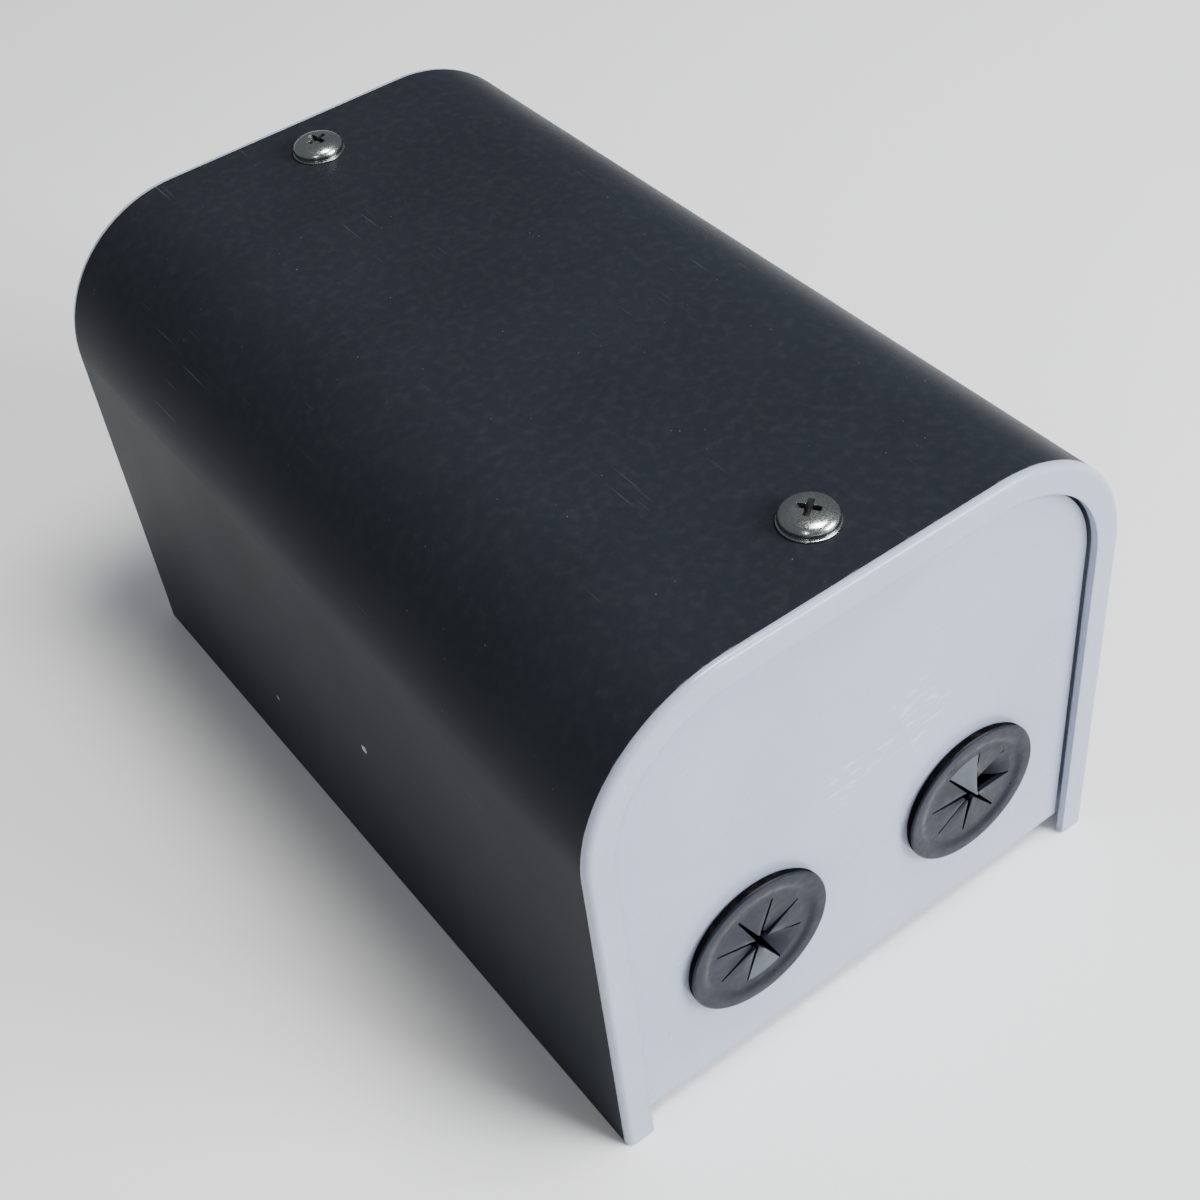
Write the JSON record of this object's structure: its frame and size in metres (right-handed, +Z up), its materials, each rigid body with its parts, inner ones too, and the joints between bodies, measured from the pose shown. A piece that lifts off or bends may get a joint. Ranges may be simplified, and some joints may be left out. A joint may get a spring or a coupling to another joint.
{
  "type": "pedestrian light control box",
  "caption": "Mailbox-shaped sheet-metal control and connection box of a pedestrian light: dark bent cover over a light grey tray with slit cable grommets, circuit board and transformer inside.",
  "frame": {"origin": "middle of the footprint, on the surface the rubber feet stand on", "axes": "+X across the box, +Y along it away from the end with the cable grommets, +Z up"},
  "size_m": [0.12, 0.19, 0.1151],
  "materials": {
    "cover_paint": "satin charcoal powder coat",
    "frame_paint": "semi-gloss light blue-grey paint",
    "grommet_rubber": "semi-gloss dark grey moulded rubber",
    "foot_rubber": "matt black moulded rubber",
    "zinc_steel": "bright zinc plated",
    "nut_steel": "yellow passivated zinc",
    "brass": "turned brass",
    "strap_steel": "plain zinc plated sheet",
    "board_laminate": "green solder resist over glass laminate",
    "insulation": "natural pressed insulating sheet",
    "terminal_grey": "moulded grey polyamide",
    "terminal_green": "moulded green polyamide",
    "fuse_glass": "clear glass tube",
    "relay_blue": "moulded blue case",
    "epoxy_blue": "dipped epoxy coat",
    "sleeve": "shrunk dark sleeve",
    "chip_epoxy": "moulded black epoxy",
    "sink_aluminium": "extruded, natural anodised",
    "crystal_can": "drawn tin plated can",
    "switch_red": "moulded red housing",
    "lever_white": "moulded white",
    "trimmer_blue": "moulded blue housing",
    "button_grey": "moulded light grey",
    "lens_red": "diffused red epoxy",
    "lens_green": "diffused green epoxy",
    "core_steel": "varnished steel laminations",
    "bobbin_nylon": "natural polyamide",
    "winding": "enamelled copper wire under tape",
    "saddle_nylon": "black polyamide"
  },
  "bodies": {
    "base": {"base_tray": "frame_paint", "rubber_feet": "foot_rubber", "cable_grommet_left": "grommet_rubber", "cable_grommet_right": "grommet_rubber", "cover_nuts": "nut_steel", "insulation_sheet": "insulation", "board_standoffs": "brass", "circuit_board": "board_laminate", "board_screws": "zinc_steel", "supply_terminals": "terminal_grey", "lamp_terminals": "terminal_green", "terminal_screws": "zinc_steel", "fuse_clips": "brass", "relays": "relay_blue", "surge_arrester": "epoxy_blue", "smoothing_capacitors": "sleeve", "rectifier": "chip_epoxy", "heat_sink": "sink_aluminium", "voltage_regulator": "chip_epoxy", "regulator_screw": "zinc_steel", "timing_chip": "chip_epoxy", "chip_socket": "chip_epoxy", "clock_crystal": "crystal_can", "switch_block": "switch_red", "trimmer_body": "trimmer_blue", "test_button_body": "chip_epoxy", "led_red": "lens_red", "led_green": "lens_green", "transformer_core": "core_steel", "transformer_bobbin": "bobbin_nylon", "transformer_windings": "winding", "transformer_strap": "strap_steel", "transformer_nuts": "zinc_steel", "clamp_bridge": "strap_steel", "cable_saddles": "saddle_nylon", "saddle_screws": "zinc_steel", "earth_stud": "brass", "earth_washer": "zinc_steel", "earth_nut": "brass"},
    "cover": {"cover_shell": "cover_paint", "front_end_frame": "frame_paint", "rear_end_frame": "frame_paint"},
    "front_screw": {"cover_screw_front": "zinc_steel", "cover_washer_front": "zinc_steel"},
    "rear_screw": {"cover_screw_rear": "zinc_steel", "cover_washer_rear": "zinc_steel"},
    "fuse": {"fuse_glass": "fuse_glass", "fuse_caps": "crystal_can"},
    "lever_1": {"switch_slider_1": "lever_white"},
    "lever_2": {"switch_slider_2": "lever_white"},
    "lever_3": {"switch_slider_3": "lever_white"},
    "lever_4": {"switch_slider_4": "lever_white"},
    "trimmer": {"trimmer_rotor": "lever_white"},
    "button": {"test_button_cap": "button_grey"}
  },
  "joints": [
    {"name": "cover_lift", "type": "slide", "parent": "base", "child": "cover", "axis": [0, 0, 1], "range_m": [0, 0.12]},
    {"name": "front_screw_out", "type": "slide", "parent": "cover", "child": "front_screw", "axis": [0, 0, 1], "range_m": [0, 0.018]},
    {"name": "rear_screw_out", "type": "slide", "parent": "cover", "child": "rear_screw", "axis": [0, 0, 1], "range_m": [0, 0.018]},
    {"name": "fuse_pull", "type": "slide", "parent": "base", "child": "fuse", "axis": [0, 0, 1], "range_m": [0, 0.02]},
    {"name": "lever_1_slide", "type": "slide", "parent": "base", "child": "lever_1", "axis": [0, 1, 0], "range_m": [0, 0.0018]},
    {"name": "lever_2_slide", "type": "slide", "parent": "base", "child": "lever_2", "axis": [0, 1, 0], "range_m": [0, 0.0018]},
    {"name": "lever_3_slide", "type": "slide", "parent": "base", "child": "lever_3", "axis": [0, 1, 0], "range_m": [0, 0.0018]},
    {"name": "lever_4_slide", "type": "slide", "parent": "base", "child": "lever_4", "axis": [0, 1, 0], "range_m": [0, 0.0018]},
    {"name": "trimmer_turn", "type": "hinge", "parent": "base", "child": "trimmer", "pos_m": [0.024, 0.008, 0.0195], "axis": [0, 0, 1], "range_deg": [-135, 135]},
    {"name": "button_press", "type": "slide", "parent": "base", "child": "button", "axis": [0, 0, -1], "range_m": [0, 0.0004], "stiffness_N_per_m": 3000}
  ]
}
